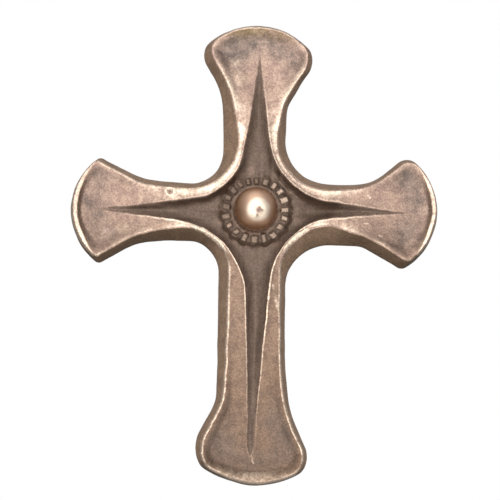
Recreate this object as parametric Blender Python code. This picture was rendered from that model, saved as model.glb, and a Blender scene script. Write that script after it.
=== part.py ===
# Cast bronze cross: four flared arms with dished, rimmed ends, a four-pointed star carved
# into the front, and a ball inside a ring of small bars where the arms meet.
# The flat back lies in the plane y = 0, the front faces -Y and the long arm points down.
# All sizes are in metres and degrees.

import math

import bmesh
import bpy

# Heights above the flat back
BACK_LAND = 0.0008        # square edge that runs round the back
FLOOR_HEIGHT = 0.0034     # floor of the star, round the ball
GROOVE_FLOOR = 0.0022     # lowest that a groove's floor may reach in a dished end
RIDGE_HEIGHT = 0.0059     # edge of the star at the crossing
SHOULDER_HEIGHT = 0.0052  # outer edge of the front, near the crossing
CREST_HEIGHT = 0.0054     # inner side of the strip beside that edge
DISH_HEIGHT = 0.0037      # hollow in the end of each arm
RIM_HEIGHT = 0.0048       # raised lip round each end

# The star's walls and the edges of the front
WALL_PITCH = 45.0         # slope of the star's walls
VALLEY_HALF = 0.0003      # half the flat strip along the bottom of a groove
TAPER_POWER = 1.5         # 1 is a straight taper, more widens faster towards the crossing
TIP_CLOSURE = 0.0030      # length over which a groove's sides draw together at its tip
EDGE_ROUND = 0.0003       # rounding of the front's outer edge
MAX_ROUND_SHARE = 0.4     # most of the side wall that this rounding may take
EDGE_LAND = 0.0008        # width of the strip beside that edge, near the crossing
SIDE_LIP = 0.0020         # width of that strip along the sides of a dished end
MAX_LIP_SHARE = 0.8       # most of the arm's lobe that this strip may take
MIN_LAND = 0.0004         # least width of metal between the star and the outer edge

# Ball and ring
BALL_RADIUS = 0.00695
BALL_LIFT = 0.0030        # ball's centre above the star's floor
CHANNEL = 0.0014          # plain gap between the ball and the bars
BAR_COUNT = 20
BAR_LENGTH = 0.0026
BAR_WIDTH = 0.0014
BAR_HEIGHT = 0.0007
RING_MARGIN = 0.0002      # plain floor kept outside the bars
EMBED = 0.0006            # how deep the ball and the bars go into the floor

# Half-size of the square on whose corners the crotch lines meet
CROSSING = 0.0235

# How the surface is divided: straight rungs run out from the spine of each arm, square to
# it along the arm, fanned round the dished end, and towards the crotches at the crossing
FAN_LEAD = 0.0015         # how far before the groove's tip the fan begins
FAN_SPAN = 0.6            # share of the way from the tip to the end's lip that it covers
FAN_BIAS = 1.5            # more than 1 crowds the fan's first rungs together
FAN_STEPS = 11
SPINE_TURNS = 6
DISC_TURNS = 4
STATION_STEP = 0.0024
LOBE_ROWS = 4
SEARCH_REACH = 0.036
SEARCH_STEPS = 40

# Each arm. Offsets are to the right on the upright arms, and upwards on the others.
ARMS = {
    "up": dict(
        reach=0.0611, end_radius=0.0230, end_offset=0.0, end_wall=0.0012, rim_slope=0.0046,
        tip_margin=0.0085, groove_root=0.0085, groove_tip=0.0005,
        shift_root=-0.0001, shift_tip=0.00075,
        left=dict(waist=0.0105, flare_length=0.0223, flare=0.64, softness=0.0048,
                  corner=0.0040, wall_waist=0.0048, wall_flare=0.0030),
        right=dict(waist=0.0097, flare_length=0.0263, flare=0.65, softness=0.0020,
                   corner=0.0050, wall_waist=0.0030, wall_flare=0.0016)),
    "left": dict(
        reach=0.0593, end_radius=0.0211, end_offset=-0.0007, end_wall=0.0007, rim_slope=0.0023,
        tip_margin=0.0084, groove_root=0.0081, groove_tip=0.00075,
        shift_root=-0.00125, shift_tip=-0.0006,
        top=dict(waist=0.0089, flare_length=0.0230, flare=0.57, softness=0.0047,
                 corner=0.0013, wall_waist=0.0029, wall_flare=0.0026),
        bottom=dict(waist=0.0100, flare_length=0.0218, flare=0.64, softness=0.0046,
                    corner=0.0012, wall_waist=0.0037, wall_flare=0.0023)),
    "down": dict(
        reach=0.0886, end_radius=0.0290, end_offset=0.0012, end_wall=0.0005, rim_slope=0.0044,
        tip_margin=0.0097, groove_root=0.0060, groove_tip=0.0011,
        shift_root=0.0013, shift_tip=-0.00045,
        left=dict(waist=0.0115, flare_length=0.0268, flare=0.56, softness=0.0026,
                  corner=0.0065, wall_waist=0.0031, wall_flare=0.0029),
        right=dict(waist=0.00985, flare_length=0.0246, flare=0.55, softness=0.0090,
                   corner=0.0065, wall_waist=0.0020, wall_flare=0.0019)),
    "right": dict(
        reach=0.0588, end_radius=0.0213, end_offset=0.0013, end_wall=0.0008, rim_slope=0.0022,
        tip_margin=0.0076, groove_root=0.0070, groove_tip=0.0003,
        shift_root=0.0001, shift_tip=0.0005,
        top=dict(waist=0.00935, flare_length=0.0212, flare=0.92, softness=0.0040,
                 corner=0.0036, wall_waist=0.0027, wall_flare=0.0021),
        bottom=dict(waist=0.0104, flare_length=0.0245, flare=0.56, softness=0.0012,
                    corner=0.0012, wall_waist=0.0054, wall_flare=0.0031)),
}

# Each crotch, measured outwards from the ring on the diagonal: where the arc between the two
# grooves would pass if they kept their root width, the outer edge of the front, and the back
CROTCHES = {
    ("up", "left"): dict(star=0.0053, edge=0.00435, back=0.0071),
    ("down", "left"): dict(star=0.0066, edge=0.00525, back=0.00835),
    ("down", "right"): dict(star=0.0049, edge=0.0046, back=0.00935),
    ("up", "right"): dict(star=0.0060, edge=0.00535, back=0.0084),
}

# Unit vectors in the plan, seen from the front: x to the right, z up
DIRECTIONS = {"up": (0, 1), "left": (-1, 0), "down": (0, -1), "right": (1, 0)}

# The arms' sides in the order in which the outline passes them, anticlockwise from the top
QUADRANTS = [
    (("up", "left"), ("left", "up")),
    (("left", "down"), ("down", "left")),
    (("down", "right"), ("right", "down")),
    (("right", "up"), ("up", "right")),
]
SIDE_NAMES = {"up": "top", "down": "bottom"}

BRONZE = (0.36, 0.25, 0.17, 1.0)
BRONZE_ROUGHNESS = 0.42

RING_INNER = BALL_RADIUS + CHANNEL
RING_OUTER = RING_INNER + BAR_LENGTH
DISC_RADIUS = RING_OUTER + RING_MARGIN
ROOT_TWO = math.sqrt(2)
WALL_SLOPE = math.tan(math.radians(WALL_PITCH))


def clear_scene():
    for obj in list(bpy.data.objects):
        bpy.data.objects.remove(obj, do_unlink=True)


def new_collection(name):
    collection = bpy.data.collections.new(name)
    bpy.context.scene.collection.children.link(collection)
    return collection


def bronze_material():
    material = bpy.data.materials.new("bronze")
    material.use_nodes = True
    shader = material.node_tree.nodes["Principled BSDF"]
    shader.inputs["Base Color"].default_value = BRONZE
    shader.inputs["Metallic"].default_value = 1.0
    shader.inputs["Roughness"].default_value = BRONZE_ROUGHNESS
    return material


def mix(a, b, t):
    return a + (b - a) * t


def ease(t):
    """Smooth step from 0 to 1 as t goes from 0 to 1."""
    t = min(max(t, 0.0), 1.0)
    return t * t * (3 - 2 * t)


def soft_ramp(t, softness):
    """Zero well below t = 0, equal to t well above it, with a soft bend between."""
    return 0.5 * (t + math.hypot(t, softness))


def soft_ramp_slope(t, softness):
    return 0.5 * (1 + t / math.hypot(t, softness))


def round_union(a, b, radius):
    """Signed distance to two joined shapes, with a fillet of this radius in the crotch."""
    return max(radius, min(a, b)) - math.hypot(max(radius - a, 0), max(radius - b, 0))


def round_overlap(a, b, radius):
    """Signed distance to what two shapes share, with its corner rounded to this radius."""
    return min(-radius, max(a, b)) + math.hypot(max(radius + a, 0), max(radius + b, 0))


class ArmSide:
    """One long side of an arm, in the arm's own directions: along it, and out to that side."""

    def __init__(self, arm_name, side_name):
        self.arm = ARMS[arm_name]
        upright = arm_name in ("up", "down")
        self.side = self.arm[side_name if upright else SIDE_NAMES[side_name]]
        self.along = DIRECTIONS[arm_name]
        self.out = DIRECTIONS[side_name]
        self.sign = self.out[0] if upright else self.out[1]
        self.tip = self.arm["reach"] - self.arm["tip_margin"]
        self.knee = self.arm["reach"] - self.side["flare_length"]
        self.fan_root = self.tip - FAN_LEAD
        lip_foot = self.arm["reach"] - self.arm["end_wall"] - self.arm["rim_slope"]
        self.spine_end = mix(self.tip, lip_foot, FAN_SPAN)

    def end_share(self, along):
        """0 level with the groove's tip and 1 at the far end of the arm."""
        return ease((along - self.tip) / (self.arm["reach"] - self.tip))

    def local(self, x, z):
        along = x * self.along[0] + z * self.along[1]
        out = x * self.out[0] + z * self.out[1]
        return along, out

    def plan(self, along, out):
        x = along * self.along[0] + out * self.out[0]
        z = along * self.along[1] + out * self.out[1]
        return x, z

    def progress(self, along):
        """0 at the crossing and 1 where the dished end begins."""
        return (along - CROSSING) / (self.fan_root - CROSSING)

    def back_half(self, along):
        """Half-width of the back: straight waist, then a soft bend into the flare."""
        widening = soft_ramp(along - self.knee, self.side["softness"])
        return self.side["waist"] + self.side["flare"] * widening

    def back_slope(self, along):
        return self.side["flare"] * soft_ramp_slope(along - self.knee, self.side["softness"])

    def wall_width(self, along):
        """Width in plan of the sloping side wall."""
        t = ease((along - CROSSING) / (self.knee - CROSSING))
        return mix(self.side["wall_waist"], self.side["wall_flare"], t)

    def groove_shift(self, along):
        """How far the groove's middle lies out from the arm's axis on this side."""
        shift = mix(self.arm["shift_root"], self.arm["shift_tip"], along / self.tip)
        return self.sign * shift

    def groove_half(self, along):
        """Half-width of the groove: a curved taper that closes at the tip."""
        narrowing = max(1 - along / self.tip, 0.0) ** TAPER_POWER
        taper = mix(self.arm["groove_tip"], self.arm["groove_root"], narrowing)
        closure = min(max((self.tip - along) / TIP_CLOSURE, 0.0), 1.0)
        return taper * math.sqrt(closure)

    def star_distance(self, x, z):
        along, out = self.local(x, z)
        return out - self.groove_shift(along) - self.groove_half(along)

    def edge_distance(self, x, z, front):
        """Signed distance to the arm's outline, at the front's outer edge or at the back."""
        along, out = self.local(x, z)
        half = self.back_half(along) - (self.wall_width(along) if front else 0)
        radius = self.arm["end_radius"] - (self.arm["end_wall"] if front else 0)
        past_centre = along - (self.arm["reach"] - self.arm["end_radius"])
        side = (out - half) / math.hypot(1, self.back_slope(along))
        if past_centre <= 0:
            return side
        end = math.hypot(past_centre, out - self.sign * self.arm["end_offset"]) - radius
        return round_overlap(side, end, self.side["corner"])


class Quadrant:
    """The part of the outline between the ends of two neighbouring arms."""

    def __init__(self, first, second):
        self.first = ArmSide(*first)
        self.second = ArmSide(*second)
        names = (first[0], second[0])
        crotch = CROTCHES[names if names in CROTCHES else names[::-1]]
        self.star_radius = self.fillet(
            crotch["star"], self.first.groove_half(0), self.second.groove_half(0))
        self.edge_radius = self.fillet(
            crotch["edge"],
            self.first.back_half(0) - self.first.wall_width(0),
            self.second.back_half(0) - self.second.wall_width(0))
        self.back_radius = self.fillet(
            crotch["back"], self.first.back_half(0), self.second.back_half(0))

    @staticmethod
    def fillet(beyond_ring, half_a, half_b):
        """Radius of the arc that joins two arms' sides and crosses the diagonal there."""
        sides = (half_a + half_b) / ROOT_TWO
        return max((RING_OUTER + beyond_ring - sides) / (ROOT_TWO - 1), MIN_LAND)

    def star_distance(self, x, z):
        first = self.first.star_distance(x, z)
        second = self.second.star_distance(x, z)
        return round_union(first, second, self.star_radius)

    def front_distance(self, x, z):
        first = self.first.edge_distance(x, z, True)
        second = self.second.edge_distance(x, z, True)
        return round_union(first, second, self.edge_radius)

    def back_distance(self, x, z):
        first = self.first.edge_distance(x, z, False)
        second = self.second.edge_distance(x, z, False)
        return round_union(first, second, self.back_radius)


class Rung:
    """A straight line in the plan, from the spine of an arm out to the outline."""

    def __init__(self, quadrant, side, along, turn):
        self.quadrant = quadrant
        self.side = side
        self.along = along
        self.turn = turn
        self.start = side.plan(along, side.groove_shift(along) * ease(along / CROSSING))
        self.direction = side.plan(math.sin(turn), math.cos(turn))
        self.inner = self.disc_crossing()
        self.on_disc = along <= DISC_RADIUS

    def point(self, distance):
        x = self.start[0] + self.direction[0] * distance
        z = self.start[1] + self.direction[1] * distance
        return x, z

    def disc_crossing(self):
        """Distance at which the rung leaves the disc under the ring, or 0 beyond it."""
        along = self.start[0] * self.direction[0] + self.start[1] * self.direction[1]
        inside = DISC_RADIUS ** 2 - self.start[0] ** 2 - self.start[1] ** 2
        if inside <= 0:
            return 0.0
        return -along + math.sqrt(along ** 2 + inside)

    def crossing(self, distance_function):
        """Distance at which the rung leaves a shape, found by halving."""
        low = self.inner
        high = SEARCH_REACH
        if distance_function(*self.point(low)) >= 0:
            return low
        for _ in range(SEARCH_STEPS):
            middle = 0.5 * (low + high)
            if distance_function(*self.point(middle)) < 0:
                low = middle
            else:
                high = middle
        return low

    def profile(self):
        """Distance and height of each row of the surface, from the star's floor to the back."""
        side = self.side
        progress = ease(side.progress(self.along))
        back = self.crossing(self.quadrant.back_distance)
        edge = self.crossing(self.quadrant.front_distance)
        edge = min(edge, back - MIN_LAND)
        star = min(self.crossing(self.quadrant.star_distance), edge - MIN_LAND)
        edge_height = mix(SHOULDER_HEIGHT, RIM_HEIGHT, progress)
        star_height = mix(RIDGE_HEIGHT, DISH_HEIGHT, progress)

        full_depth = star_height - mix(FLOOR_HEIGHT, GROOVE_FLOOR, progress)
        narrow_depth = (side.groove_half(self.along) - VALLEY_HALF) * WALL_SLOPE
        narrow_depth = min(max(narrow_depth, 0), full_depth)
        narrowing = ease((self.along - DISC_RADIUS) / (CROSSING - DISC_RADIUS))
        depth = mix(full_depth, narrow_depth, narrowing)
        run = min(depth / WALL_SLOPE, max(star - self.inner - VALLEY_HALF, 0))
        floor_height = star_height - depth

        edge_along, _ = side.local(*self.point(edge))
        end_lip = mix(SIDE_LIP, side.arm["rim_slope"], side.end_share(edge_along))
        lip = min(mix(EDGE_LAND, end_lip, progress), MAX_LIP_SHARE * (edge - star))
        lip_height = mix(CREST_HEIGHT, DISH_HEIGHT, progress)
        bevel = min(EDGE_ROUND, MAX_ROUND_SHARE * (back - edge))

        rows = [(self.inner, floor_height), (star - run, floor_height), (star, star_height)]
        for k in range(1, LOBE_ROWS + 1):
            t = k / LOBE_ROWS
            rows.append((mix(star, edge - lip, t), mix(star_height, lip_height, t)))
        rows.append((edge, edge_height))
        rows.append((edge + bevel, edge_height - bevel))
        rows.append((back, BACK_LAND))
        rows.append((back, 0.0))
        return rows

    def corners(self):
        return [(*self.point(distance), height) for distance, height in self.profile()]


def side_lines(side):
    """Where each rung of an arm's side starts, and how far it turns, from the end inwards."""
    lines = []
    for k in range(FAN_STEPS):
        t = 1 - k / FAN_STEPS
        lines.append((mix(side.fan_root, side.spine_end, t), math.radians(90) * t ** FAN_BIAS))
    stations = max(2, round((side.fan_root - CROSSING) / STATION_STEP))
    for k in range(stations):
        lines.append((mix(side.fan_root, CROSSING, k / stations), 0.0))
    disc_turn = math.atan(1 - DISC_RADIUS / CROSSING)
    turns = [disc_turn * k / SPINE_TURNS for k in range(SPINE_TURNS)]
    lines += [(CROSSING * (1 - math.tan(turn)), turn) for turn in turns]
    lines.append((DISC_RADIUS, disc_turn))
    for k in range(1, DISC_TURNS):
        turn = mix(disc_turn, math.radians(45), k / DISC_TURNS)
        lines.append((CROSSING * (1 - math.tan(turn)), turn))
    return lines


def outline_rungs():
    """All rungs, anticlockwise, starting on the axis of the upper arm."""
    rungs = []
    for first, second in QUADRANTS:
        quadrant = Quadrant(first, second)
        for along, turn in side_lines(quadrant.first):
            rungs.append(Rung(quadrant, quadrant.first, along, turn))
        rungs.append(Rung(quadrant, quadrant.first, 0.0, math.radians(45)))
        inwards = side_lines(quadrant.second)
        for along, turn in reversed(inwards[1:]):
            rungs.append(Rung(quadrant, quadrant.second, along, turn))
    return rungs


def build_body(collection, material):
    """Loft the rungs' profiles into one closed body, with a flat disc under the ring."""
    mesh = bpy.data.meshes.new("cross")
    shape = bmesh.new()
    known = {}

    def vertex(x, z, height):
        key = (round(x, 7), round(z, 7), round(height, 7))
        if key not in known:
            known[key] = shape.verts.new((x, -height, z))
        return known[key]

    def face(corners):
        loop = [v for k, v in enumerate(corners) if v is not corners[k - 1]]
        if len(set(loop)) == len(loop) and len(loop) > 2:
            shape.faces.new(loop)

    rungs = outline_rungs()
    rows = [[vertex(*corner) for corner in rung.corners()] for rung in rungs]
    for this, after in zip(rows, rows[1:] + rows[:1]):
        for k in range(len(this) - 1):
            face([this[k], this[k + 1], after[k + 1], after[k]])
    face([row[-1] for row in rows])

    disc = [row[0] for rung, row in zip(rungs, rows) if rung.on_disc]
    face(list(dict.fromkeys(disc)))
    bmesh.ops.recalc_face_normals(shape, faces=shape.faces)
    shape.to_mesh(mesh)
    shape.free()
    mesh.materials.append(material)
    body = bpy.data.objects.new("cross", mesh)
    collection.objects.link(body)
    return body


def joining_shape(name, shape, collection):
    """A helper solid that is joined to the body and isn't a part by itself."""
    mesh = bpy.data.meshes.new(name)
    shape.to_mesh(mesh)
    shape.free()
    obj = bpy.data.objects.new(name, mesh)
    obj.display_type = "WIRE"
    obj.hide_render = True
    collection.objects.link(obj)
    return obj


def build_ball(collection):
    """A sphere cut off flat a little below the star's floor."""
    shape = bmesh.new()
    bmesh.ops.create_uvsphere(shape, u_segments=32, v_segments=18, radius=BALL_RADIUS)
    everything = shape.verts[:] + shape.edges[:] + shape.faces[:]
    cut = bmesh.ops.bisect_plane(
        shape, geom=everything, clear_outer=True,
        plane_co=(0, 0, -BALL_LIFT - EMBED), plane_no=(0, 0, -1))
    rim = [e for e in cut["geom_cut"] if isinstance(e, bmesh.types.BMEdge)]
    bmesh.ops.contextual_create(shape, geom=rim)
    bmesh.ops.recalc_face_normals(shape, faces=shape.faces)
    ball = joining_shape("ball_shape", shape, collection)
    ball.rotation_euler.x = math.radians(90)
    ball.location.y = -(FLOOR_HEIGHT + BALL_LIFT)
    return ball


def build_bars(collection):
    """The ring of small bars, each a box that stands on the floor and points at the ball."""
    shape = bmesh.new()
    middle = 0.5 * (RING_INNER + RING_OUTER)
    thickness = BAR_HEIGHT + EMBED
    for k in range(BAR_COUNT):
        angle = 2 * math.pi * k / BAR_COUNT
        made = bmesh.ops.create_cube(shape, size=1.0)["verts"]
        bmesh.ops.scale(shape, verts=made, vec=(BAR_WIDTH, thickness, BAR_LENGTH))
        depth = EMBED - 0.5 * thickness - FLOOR_HEIGHT
        bmesh.ops.translate(shape, verts=made, vec=(0, depth, middle))
        for v in made:
            x, z = v.co.x, v.co.z
            v.co.x = x * math.cos(angle) - z * math.sin(angle)
            v.co.z = x * math.sin(angle) + z * math.cos(angle)
    return joining_shape("bar_shapes", shape, collection)


def join(body, helper):
    union = body.modifiers.new("join " + helper.name, "BOOLEAN")
    union.operation = "UNION"
    union.solver = "EXACT"
    union.object = helper


def build_cross():
    clear_scene()
    parts = new_collection("bronze_cross")
    helpers = new_collection("helpers")
    body = build_body(parts, bronze_material())
    join(body, build_ball(helpers))
    join(body, build_bars(helpers))


build_cross()
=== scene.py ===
# A cast bronze cross: four flared arms with dished ends, a star carved into the front and
# a polished ball inside a ring of small bars. Lengths are in millimetres until a mesh is
# made. Seen from the front, x is to the right and z is up; heights rise from the flat back.

from math import atan, cos, pi, radians, sin, sqrt

import bpy
import numpy as np
from mathutils import Matrix, Vector


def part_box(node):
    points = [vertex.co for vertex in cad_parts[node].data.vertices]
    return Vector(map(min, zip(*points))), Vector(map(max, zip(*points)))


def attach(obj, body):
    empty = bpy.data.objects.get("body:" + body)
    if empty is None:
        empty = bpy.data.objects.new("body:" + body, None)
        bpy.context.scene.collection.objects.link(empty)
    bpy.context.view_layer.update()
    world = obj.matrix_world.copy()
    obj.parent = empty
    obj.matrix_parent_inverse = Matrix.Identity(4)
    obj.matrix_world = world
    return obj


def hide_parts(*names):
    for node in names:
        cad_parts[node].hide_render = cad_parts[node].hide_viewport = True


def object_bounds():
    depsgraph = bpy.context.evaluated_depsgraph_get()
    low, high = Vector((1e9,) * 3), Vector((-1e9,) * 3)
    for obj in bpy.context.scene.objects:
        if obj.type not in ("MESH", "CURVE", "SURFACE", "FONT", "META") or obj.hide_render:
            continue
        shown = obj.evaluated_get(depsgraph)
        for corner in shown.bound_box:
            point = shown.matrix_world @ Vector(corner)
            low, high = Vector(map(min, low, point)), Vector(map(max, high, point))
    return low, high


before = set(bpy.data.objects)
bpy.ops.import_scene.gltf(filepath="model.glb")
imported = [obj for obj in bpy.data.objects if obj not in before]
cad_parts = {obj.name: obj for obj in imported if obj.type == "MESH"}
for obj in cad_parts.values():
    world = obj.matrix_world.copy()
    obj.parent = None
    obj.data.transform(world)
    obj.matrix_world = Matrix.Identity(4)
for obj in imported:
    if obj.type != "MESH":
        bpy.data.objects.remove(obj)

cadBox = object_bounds()
mm = 0.001
print("frame loaded, CAD box", [list(corner) for corner in cadBox])


class NodeDesk:
    # makes the nodes of one material or world and joins them
    def __init__(self, tree):
        self.tree = tree

    def node(self, kind, values=(), **settings):
        made = self.tree.nodes.new(kind)
        for key, value in settings.items():
            setattr(made, key, value)
        for key, value in dict(values).items():
            self.feed(made.inputs[key], value)
        return made

    def feed(self, socket, value):
        if isinstance(value, bpy.types.NodeSocket):
            self.tree.links.new(value, socket)
        else:
            isColour = isinstance(value, tuple) and len(value) == 3
            socket.default_value = value + (1,) if isColour else value

    def attribute(self, name):
        return self.node("ShaderNodeAttribute", attribute_name=name).outputs["Fac"]

    def noise(self, where, size, detail, rough=0.55):
        made = self.node("ShaderNodeTexNoise", {
            "Vector": where, "Scale": 1 / (size * mm), "Detail": detail, "Roughness": rough})
        return made.outputs["Fac"]

    # stretches a value from the given range to the given ends, and stops there
    def ramp(self, value, start, stop, low=0.0, high=1.0):
        return self.node("ShaderNodeMapRange", {
            "Value": value, "From Min": start, "From Max": stop, "To Min": low, "To Max": high},
            interpolation_type="SMOOTHSTEP").outputs["Result"]

    def math(self, operation, a, b=0.0):
        return self.node("ShaderNodeMath", {0: a, 1: b}, operation=operation).outputs[0]

    def blend(self, factor, a, b, kind="MIX"):
        made = self.node("ShaderNodeMix", data_type="RGBA", blend_type=kind)
        self.feed(made.inputs[0], factor)
        self.feed(made.inputs[6], a)
        self.feed(made.inputs[7], b)
        return made.outputs[2]


# camera, light and room


cameraValues = {
    "azimuth": -3.0,             # degrees, the camera stands a little to the left
    "elevation": -10.0,          # and a little low
    "roll": 0.9,
    "distance": 2.0,             # metres
    "pixelsPerMetre": 3113.0,    # at the cross, in the 500 pixel frame
    "crossPixel": (255.0, 212.2),  # where the origin falls in that frame
    "framePixels": 500,
    "sensor": 36.0,
}


# the camera looks along -c; r and u are the picture's right and up, turned by the roll
def makeCamera(values):
    azimuth = radians(values["azimuth"])
    elevation = radians(values["elevation"])
    roll = radians(values["roll"])
    c = Vector((sin(azimuth) * cos(elevation), -cos(azimuth) * cos(elevation), sin(elevation)))
    r = (-c).cross(Vector((0, 0, 1))).normalized()
    u = r.cross(-c)
    right = r * cos(roll) + u * sin(roll)
    up = u * cos(roll) - r * sin(roll)
    middle = values["framePixels"] / 2
    across = (middle - values["crossPixel"][0]) / values["pixelsPerMetre"]
    above = (values["crossPixel"][1] - middle) / values["pixelsPerMetre"]
    place = Matrix((right, up, c)).transposed().to_4x4()
    place.translation = right * across + up * above + c * values["distance"]
    data = bpy.data.cameras.new("camera")
    data.sensor_width = values["sensor"]
    data.lens = values["sensor"] * values["pixelsPerMetre"] * values["distance"] / values["framePixels"]
    camera = bpy.data.objects.new("camera", data)
    camera.matrix_world = place
    bpy.context.scene.collection.objects.link(camera)
    bpy.context.scene.camera = camera


lightValues = {
    "key": {"place": (-0.12, -0.45, 0.62), "size": 1.0, "watts": 1.8, "colour": (1.0, 0.98, 0.94)},
    "front": {"place": (-0.04, -1.10, -0.24), "size": 2.3, "watts": 24.0, "colour": (1.0, 0.98, 0.95)},
    "roomBelow": 0.14,           # grey that the metal sees under and above itself
    "roomAbove": 0.42,
    "backgroundWhite": 1.0,      # what the camera sees
    "floorDrop": 0.30,           # floor below the cross, in metres
    "floorSize": (1.2, 1.1),
    "floorColour": (0.82, 0.81, 0.79),
}


# a round area light that faces the cross and that the camera does not see
def makeSoftLight(name, values):
    data = bpy.data.lights.new(name, "AREA")
    data.shape = "DISK"
    data.size = values["size"]
    data.energy = values["watts"]
    data.color = values["colour"]
    light = bpy.data.objects.new(name, data)
    light.location = values["place"]
    light.rotation_euler = (-Vector(values["place"])).to_track_quat("-Z", "Y").to_euler()
    light.visible_camera = False
    bpy.context.scene.collection.objects.link(light)


# the camera sees white paper behind the cross, the metal sees a dim grey room that is darker
# below than above
def makeRoom(values):
    world = bpy.data.worlds.new("studio")
    bpy.context.scene.world = world
    world.use_nodes = True
    desk = NodeDesk(world.node_tree)
    paper = world.node_tree.nodes["Background"]
    desk.feed(paper.inputs["Color"], (values["backgroundWhite"],) * 3)
    where = desk.node("ShaderNodeTexCoord").outputs["Generated"]
    height = desk.node("ShaderNodeSeparateXYZ", {0: where}).outputs["Z"]
    shade = desk.node("ShaderNodeMapRange", {
        "Value": height, "From Min": -0.7, "From Max": 0.8, "To Min": values["roomBelow"],
        "To Max": values["roomAbove"]}).outputs["Result"]
    room = desk.node("ShaderNodeBackground", {"Color": shade}).outputs[0]
    ray = desk.node("ShaderNodeLightPath").outputs["Is Camera Ray"]
    seen = desk.node("ShaderNodeMixShader", {0: ray, 1: room, 2: paper.outputs[0]}).outputs[0]
    desk.feed(world.node_tree.nodes["World Output"].inputs["Surface"], seen)


# a pale level square under the cross, which is only staging
def makeFloor(values):
    wide, deep = values["floorSize"]
    height = cadBox[0][2] - values["floorDrop"]
    corners = [(-wide / 2, -0.35, height), (wide / 2, -0.35, height),
               (wide / 2, deep - 0.35, height), (-wide / 2, deep - 0.35, height)]
    mesh = bpy.data.meshes.new("paleFloor")
    mesh.from_pydata(corners, [], [(0, 1, 2, 3)])
    floor = bpy.data.objects.new("paleFloor", mesh)
    bpy.context.scene.collection.objects.link(floor)
    paint = bpy.data.materials.new("paleFloor")
    paint.use_nodes = True
    shader = paint.node_tree.nodes["Principled BSDF"]
    shader.inputs["Base Color"].default_value = values["floorColour"] + (1,)
    shader.inputs["Roughness"].default_value = 0.9
    mesh.materials.append(paint)


bpy.context.scene.view_settings.view_transform = "Standard"
makeCamera(cameraValues)
makeSoftLight("keyLight", lightValues["key"])
makeSoftLight("frontLight", lightValues["front"])
makeRoom(lightValues)
makeFloor(lightValues)
print("camera, lights and floor ready")


# helpers for whole arrays


# the value a share t of the way from a to b
def between(a, b, t):
    return a + (b - a) * t


# 0 below t = 0, 1 above t = 1, and between them t squared times 3 - 2t
def easeStep(t):
    t = np.clip(t, 0, 1)
    return t * t * (3 - 2 * t)


# a bell round zero: e to minus the square of the distance over the width
def bell(distance, width):
    return np.exp(-(distance / width) ** 2)


# random numbers from -1 to 1 on a lattice, blended in x, y and z
def latticeNoise(points, size, seed):
    cell = np.asarray(points, dtype=float) / size
    base = np.floor(cell).astype(np.int64)
    inside = cell - base
    inside = inside ** 3 * (inside * (inside * 6 - 15) + 10)
    total = np.zeros(cell.shape[:-1])
    for corner in range(8):
        step = np.array([corner & 1, (corner >> 1) & 1, (corner >> 2) & 1])
        weight = np.prod(np.where(step == 1, inside, 1 - inside), axis=-1)
        key = (base + step) @ np.array([73856093, 19349663, 83492791]) + seed * 2654435761
        key = (key ^ (key >> 13)) * 1274126177 & 0x7FFFFFFF
        key = (key ^ (key >> 15)) * 668265263 & 0x7FFFFFFF
        total = total + weight * ((key >> 8 & 0xFFFF) / 32767.5 - 1)
    return total


# noise of the plan only, for edges and outlines
def planNoise(x, z, size, seed):
    return latticeNoise(np.stack([x, np.zeros_like(x), z], axis=-1), size, seed)


# the plan of the cross


low, high = [np.array(corner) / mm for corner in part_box("cross")]

castingValues = {
    # heights above the flat back
    "backLand": 0.8,         # square edge that runs round the back
    "floor": 3.4,            # floor of the star, round the ball
    "grooveFloor": 2.2,      # floor of the grooves in the dished ends
    "ridge": 5.9,            # edge of the star at the crossing
    "shoulder": 5.2,         # outer edge of the front, near the crossing
    "crest": 5.4,            # inner side of the strip beside that edge
    "dish": 3.7,             # hollow in the end of each arm
    "rim": 4.8,              # raised lip round each end
    "bowl": 0.9,             # how much deeper the middle of a dished end is
    "bowlReach": 7.0,        # how far from the lip it gets that deep
    "sag": 0.25,             # hollow between the two edges of an arm's lobe
    # the star's walls and the edges
    "wallRun": 4.2,          # how far from its edge the star is at its full depth
    "wallPower": 2.3,        # 1 is a straight wall, more is steeper at the edge
    "crestBend": 0.22,
    "edgeRound": 0.45,
    "roundUntil": 12.0,      # the crotches' rounder edges end this far out along an arm
    "roundFade": 8.0,
    "edgeLand": 0.8,
    "sideLip": 4.0,
    "leastLand": 0.4,
    "taperPower": 1.5,       # 1 is a straight groove, more widens faster towards the crossing
    "tipClosure": 4.0, "tipPower": 0.75,
    "crossing": 23.5,        # half-size of the square on whose corners the crotch lines meet
    # the hand of the maker: how far edges wander in the plan, and over what length
    "starWander": 0.13, "starWanderSize": 3.2,
    "edgeWander": 0.16, "edgeWanderSize": 4.5,
    "fineWander": 0.06, "fineWanderSize": 1.1,
    "backWander": 0.16, "backWanderSize": 7.0,
}

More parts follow.
